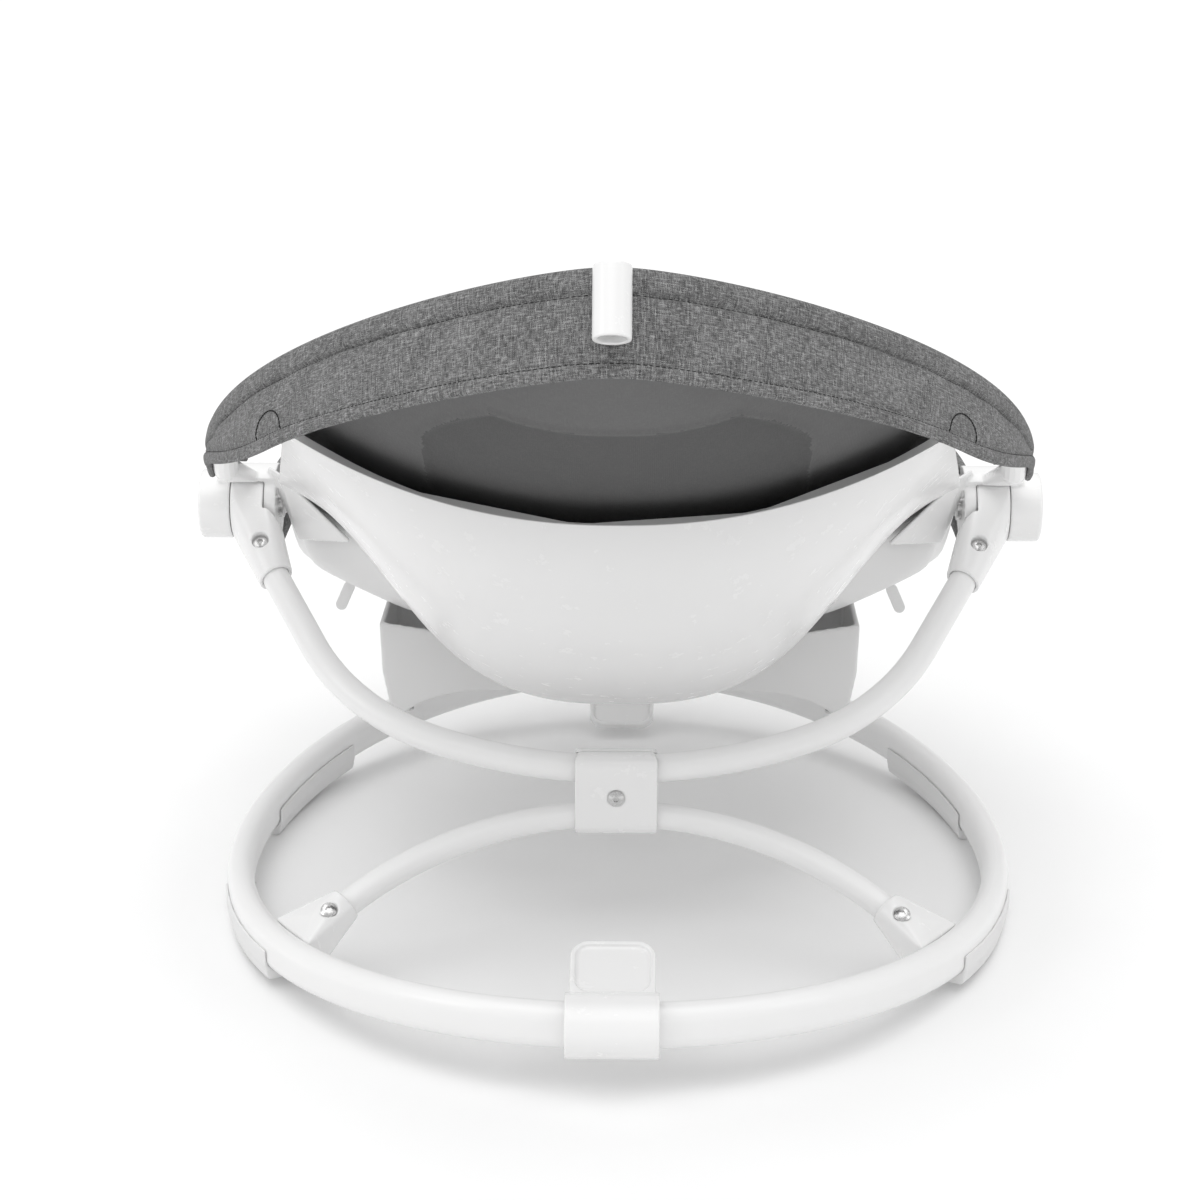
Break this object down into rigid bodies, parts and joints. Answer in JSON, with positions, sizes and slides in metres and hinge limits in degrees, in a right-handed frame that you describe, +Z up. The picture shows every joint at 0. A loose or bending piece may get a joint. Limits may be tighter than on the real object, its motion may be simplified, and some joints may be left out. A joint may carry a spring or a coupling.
{
  "type": "bouncer seat",
  "caption": "Baby bouncer: padded fabric bucket seat with a moulded back bowl, reclining on a tubular bow that springs from an oval rocker hoop with fold-down kickstands.",
  "frame": {"origin": "on the floor, under the middle of the rocker hoop", "axes": "+X to the right seen from the head end, +Y from the head end to the foot end, +Z up"},
  "size_m": [0.5596, 0.7228, 0.4794],
  "materials": {
    "white_tube": "smooth powder coat",
    "white_shell": "gloss",
    "tray_shell": "satin",
    "pad_rubber": "matte",
    "bright_screw": "bright",
    "gear_plastic": "satin",
    "heather_cloth": "woven heather",
    "webbing": "woven webbing",
    "buckle_plastic": "satin",
    "buckle_release": "satin"
  },
  "bodies": {
    "base": {"base_hoop": "white_tube", "rear_hinge_barrel": "white_shell", "front_hinge_barrel": "white_shell", "rear_left_pad": "pad_rubber", "rear_right_pad": "pad_rubber", "front_left_pad": "pad_rubber", "front_right_pad": "pad_rubber", "left_base_connector": "white_shell", "right_base_connector": "white_shell", "connector_bolts": "bright_screw", "lower_arch": "white_tube", "clamp_rear_shell": "white_shell", "clamp_front_shell": "white_shell", "clamp_bolt": "bright_screw"},
    "rear_kickstand": {"rear_kickstand": "white_shell"},
    "front_kickstand": {"front_kickstand": "white_shell"},
    "bow": {"upper_bow": "white_tube", "left_knuckle": "white_shell", "right_knuckle": "white_shell", "knuckle_bolts": "bright_screw"},
    "seat": {"left_pivot_bracket": "white_shell", "right_pivot_bracket": "white_shell", "left_pivot_pin": "bright_screw", "right_pivot_pin": "bright_screw", "left_button_spring": "bright_screw", "right_button_spring": "bright_screw", "head_rim": "white_tube", "back_bowl": "white_shell", "seat_tray": "tray_shell", "underseat_frame": "tray_shell", "bowl_screws": "bright_screw", "frame_screws": "bright_screw", "toy_bar_socket": "white_shell", "head_cover": "heather_cloth", "foot_cover": "heather_cloth", "seat_liner": "heather_cloth", "left_cover_tab": "tray_shell", "right_cover_tab": "tray_shell", "crotch_strap": "webbing", "left_waist_strap": "webbing", "right_waist_strap": "webbing", "buckle_body": "buckle_plastic", "left_buckle_tongue": "buckle_plastic", "right_buckle_tongue": "buckle_plastic", "left_strap_adjuster": "buckle_plastic", "right_strap_adjuster": "buckle_plastic"},
    "left_button": {"left_button": "white_shell", "left_lock_gear": "gear_plastic"},
    "right_button": {"right_button": "white_shell", "right_lock_gear": "gear_plastic"},
    "buckle_button": {"buckle_button": "buckle_release"}
  },
  "joints": [
    {"name": "bounce", "type": "hinge", "parent": "base", "child": "bow", "pos_m": [0, -0.11, 0.1186], "axis": [1, 0, 0], "range_deg": [-4, 4], "stiffness_Nm_per_rad": 150, "springref_deg": 1.03},
    {"name": "recline", "type": "hinge", "parent": "bow", "child": "seat", "pos_m": [0, 0.05984, 0.24109], "axis": [1, 0, 0], "range_deg": [0, 22.5]},
    {"name": "rear_kickstand_fold", "type": "hinge", "parent": "base", "child": "rear_kickstand", "pos_m": [0, -0.305, 0.04151], "axis": [1, 0, 0], "range_deg": [-73, 0]},
    {"name": "front_kickstand_fold", "type": "hinge", "parent": "base", "child": "front_kickstand", "pos_m": [0, 0.305, 0.04151], "axis": [1, 0, 0], "range_deg": [-65, 7]},
    {"name": "left_button_press", "type": "slide", "parent": "seat", "child": "left_button", "axis": [1, 0, 0], "range_m": [0, 0.006], "stiffness_N_per_m": 600, "springref_m": -0.002, "deforming": ["left_button_spring"]},
    {"name": "right_button_press", "type": "slide", "parent": "seat", "child": "right_button", "axis": [-1, 0, 0], "range_m": [0, 0.006], "stiffness_N_per_m": 600, "springref_m": -0.002, "deforming": ["right_button_spring"]},
    {"name": "buckle_press", "type": "slide", "parent": "seat", "child": "buckle_button", "axis": [0, 0, -1], "range_m": [0, 0.003], "stiffness_N_per_m": 500, "springref_m": -0.001}
  ]
}
